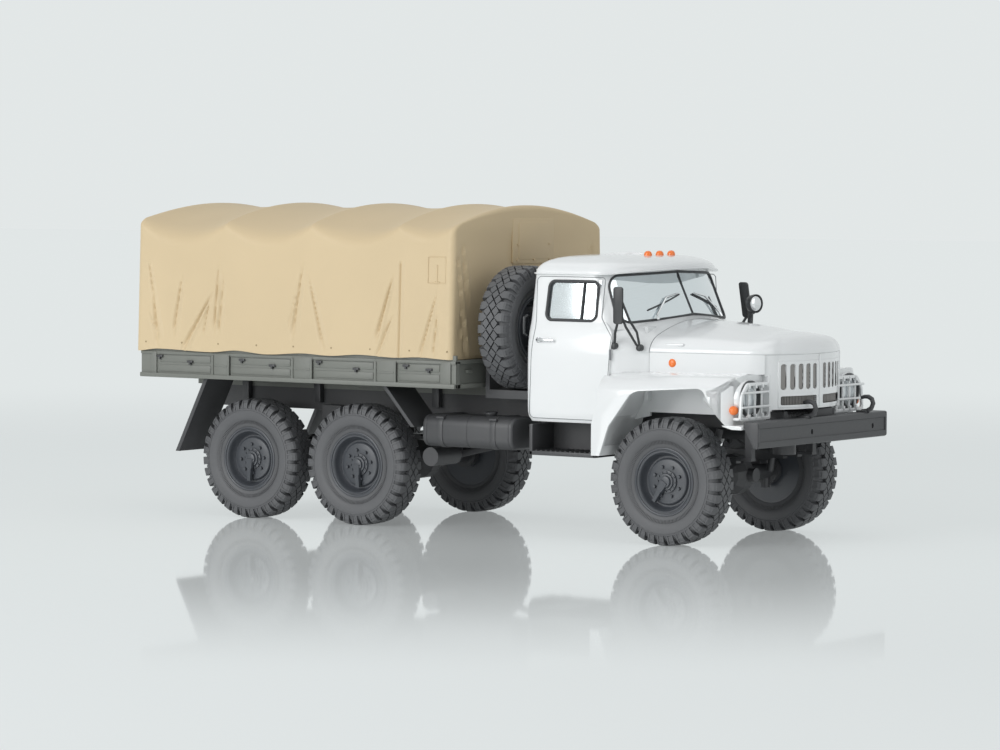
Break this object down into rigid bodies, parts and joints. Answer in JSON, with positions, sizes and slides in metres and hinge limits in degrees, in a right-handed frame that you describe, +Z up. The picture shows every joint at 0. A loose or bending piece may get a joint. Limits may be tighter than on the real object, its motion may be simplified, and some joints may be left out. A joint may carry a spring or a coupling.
{
  "type": "scale model military cargo truck",
  "caption": "Toy-size scale model of a bonneted six-wheel army cargo truck with a moulded tarpaulin, wheels that roll and a spare behind the cab.",
  "frame": {"origin": "on the floor, under the middle of the model's length and width", "axes": "+X forward, +Y to the left, +Z up"},
  "size_m": [0.1606, 0.0584, 0.069],
  "materials": {
    "tyre": "matte moulded rubber",
    "wheel_paint": "satin",
    "steel_pin": "plain",
    "white_paint": "gloss white enamel",
    "clear_glass": "clear",
    "cab_trim": "matte",
    "dark_trim": "satin",
    "orange_lens": "gloss",
    "red_lens": "gloss",
    "lamp_lens": "gloss",
    "bed_plastic": "satin grey green",
    "tarp_plastic": "matte tan",
    "chassis_plastic": "satin dark grey"
  },
  "bodies": {
    "root": {"air_tank": "chassis_plastic", "axle_pins": "steel_pin", "bed_floor": "bed_plastic", "bed_side_left": "bed_plastic", "bed_side_right": "bed_plastic", "bogie_axles": "chassis_plastic", "bogie_springs": "chassis_plastic", "bonnet": "white_paint", "bumper": "chassis_plastic", "cab_glass": "clear_glass", "cab_seats": "cab_trim", "cab_shell": "white_paint", "cab_steps": "chassis_plastic", "dashboard": "cab_trim", "engine_block": "chassis_plastic", "exhaust": "chassis_plastic", "frame_crossmembers": "chassis_plastic", "frame_rail_left": "chassis_plastic", "frame_rail_right": "chassis_plastic", "front_axle": "chassis_plastic", "front_springs": "chassis_plastic", "fuel_tanks": "chassis_plastic", "handles": "dark_trim", "headboard": "bed_plastic", "headlights": "lamp_lens", "lamp_guards": "white_paint", "mirrors": "dark_trim", "mudguards": "chassis_plastic", "nose_grille": "white_paint", "orange_lamps": "orange_lens", "prop_shafts": "chassis_plastic", "radiator": "chassis_plastic", "spare_carrier": "chassis_plastic", "spare_disc": "wheel_paint", "spare_tyre": "tyre", "spotlight": "lamp_lens", "steering_wheel": "cab_trim", "tail_lamps": "red_lens", "tailgate": "bed_plastic", "tarpaulin": "tarp_plastic", "tow_hooks": "chassis_plastic", "transfer_case": "chassis_plastic", "winch": "chassis_plastic", "wing_left": "white_paint", "wing_right": "white_paint", "wipers": "dark_trim"},
    "wheel_front_left": {"tyre_front_left": "tyre", "disc_front_left": "wheel_paint"},
    "wheel_front_right": {"tyre_front_right": "tyre", "disc_front_right": "wheel_paint"},
    "wheel_middle_left": {"tyre_middle_left": "tyre", "disc_middle_left": "wheel_paint"},
    "wheel_middle_right": {"tyre_middle_right": "tyre", "disc_middle_right": "wheel_paint"},
    "wheel_rear_left": {"tyre_rear_left": "tyre", "disc_rear_left": "wheel_paint"},
    "wheel_rear_right": {"tyre_rear_right": "tyre", "disc_rear_right": "wheel_paint"}
  },
  "joints": [
    {"name": "roll_front_left", "type": "hinge", "parent": "root", "child": "wheel_front_left", "pos_m": [0.0555, 0.02115, 0.01306], "axis": [0, 1, 0], "continuous": true},
    {"name": "roll_front_right", "type": "hinge", "parent": "root", "child": "wheel_front_right", "pos_m": [0.0555, -0.02115, 0.01306], "axis": [0, 1, 0], "continuous": true},
    {"name": "roll_middle_left", "type": "hinge", "parent": "root", "child": "wheel_middle_left", "pos_m": [-0.0224, 0.02115, 0.01306], "axis": [0, 1, 0], "continuous": true},
    {"name": "roll_middle_right", "type": "hinge", "parent": "root", "child": "wheel_middle_right", "pos_m": [-0.0224, -0.02115, 0.01306], "axis": [0, 1, 0], "continuous": true},
    {"name": "roll_rear_left", "type": "hinge", "parent": "root", "child": "wheel_rear_left", "pos_m": [-0.0515, 0.02115, 0.01306], "axis": [0, 1, 0], "continuous": true},
    {"name": "roll_rear_right", "type": "hinge", "parent": "root", "child": "wheel_rear_right", "pos_m": [-0.0515, -0.02115, 0.01306], "axis": [0, 1, 0], "continuous": true}
  ]
}
